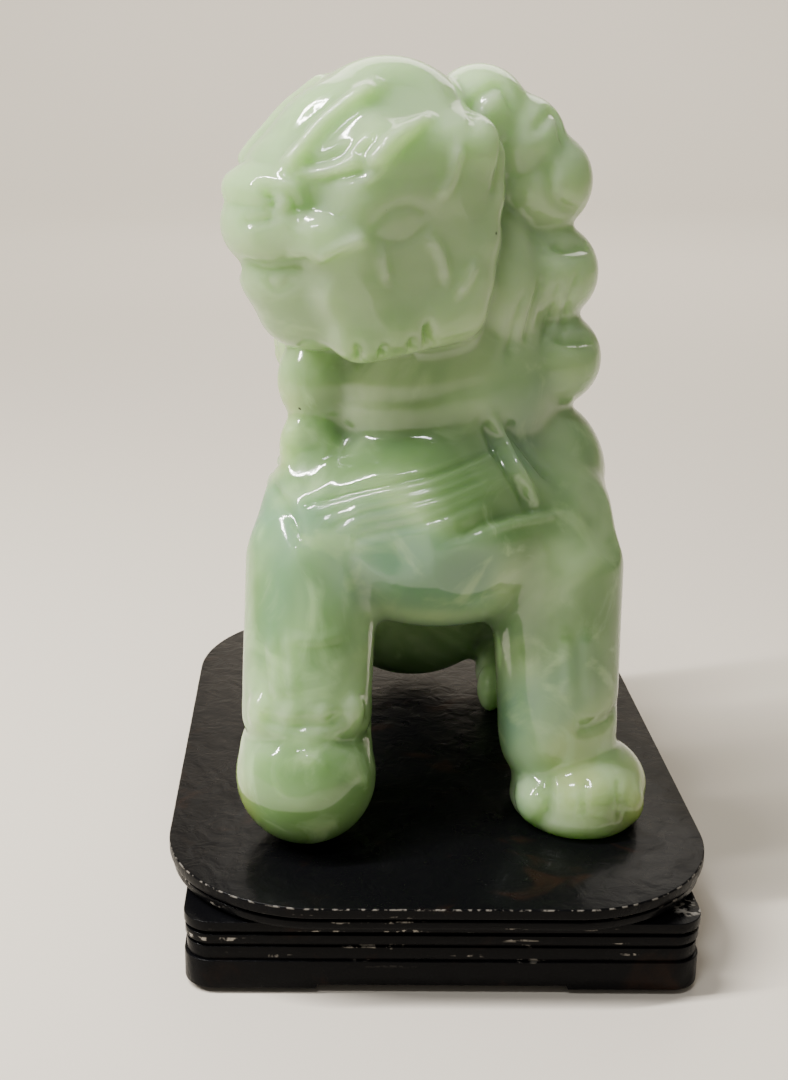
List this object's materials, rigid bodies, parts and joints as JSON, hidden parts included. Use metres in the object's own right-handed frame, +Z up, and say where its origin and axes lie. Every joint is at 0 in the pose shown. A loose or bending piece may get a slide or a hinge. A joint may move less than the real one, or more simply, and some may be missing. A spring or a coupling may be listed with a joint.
{
  "type": "jade figurine",
  "caption": "Carved pale jade guardian lion, head turned to its right and one front paw on a ball, resting on a moulded black-lacquered wooden stand.",
  "frame": {"origin": "middle of the stand's footprint, on the ground", "axes": "+Z up; the lion's chest faces -Y and its head turns towards -X; +X is on the right of someone who faces the lion"},
  "size_m": [0.054, 0.08, 0.0859],
  "materials": {
    "jade": "polished, translucent, clouded green",
    "lacquer": "black gloss lacquer over wood",
    "bare_wood": "bare birch",
    "felt": "matt felt"
  },
  "bodies": {
    "stand": {"top_board": "lacquer", "waist_board": "lacquer", "foot_frame": "lacquer", "dowel_pins": "bare_wood", "felt_pad_front_left": "felt", "felt_pad_front_right": "felt", "felt_pad_back_left": "felt", "felt_pad_back_right": "felt"},
    "lion": {"lion_carving": "jade"}
  },
  "joints": [
    {"name": "lion_lift", "type": "slide", "parent": "stand", "child": "lion", "axis": [0, 0, 1], "range_m": [0, 0.04]}
  ]
}
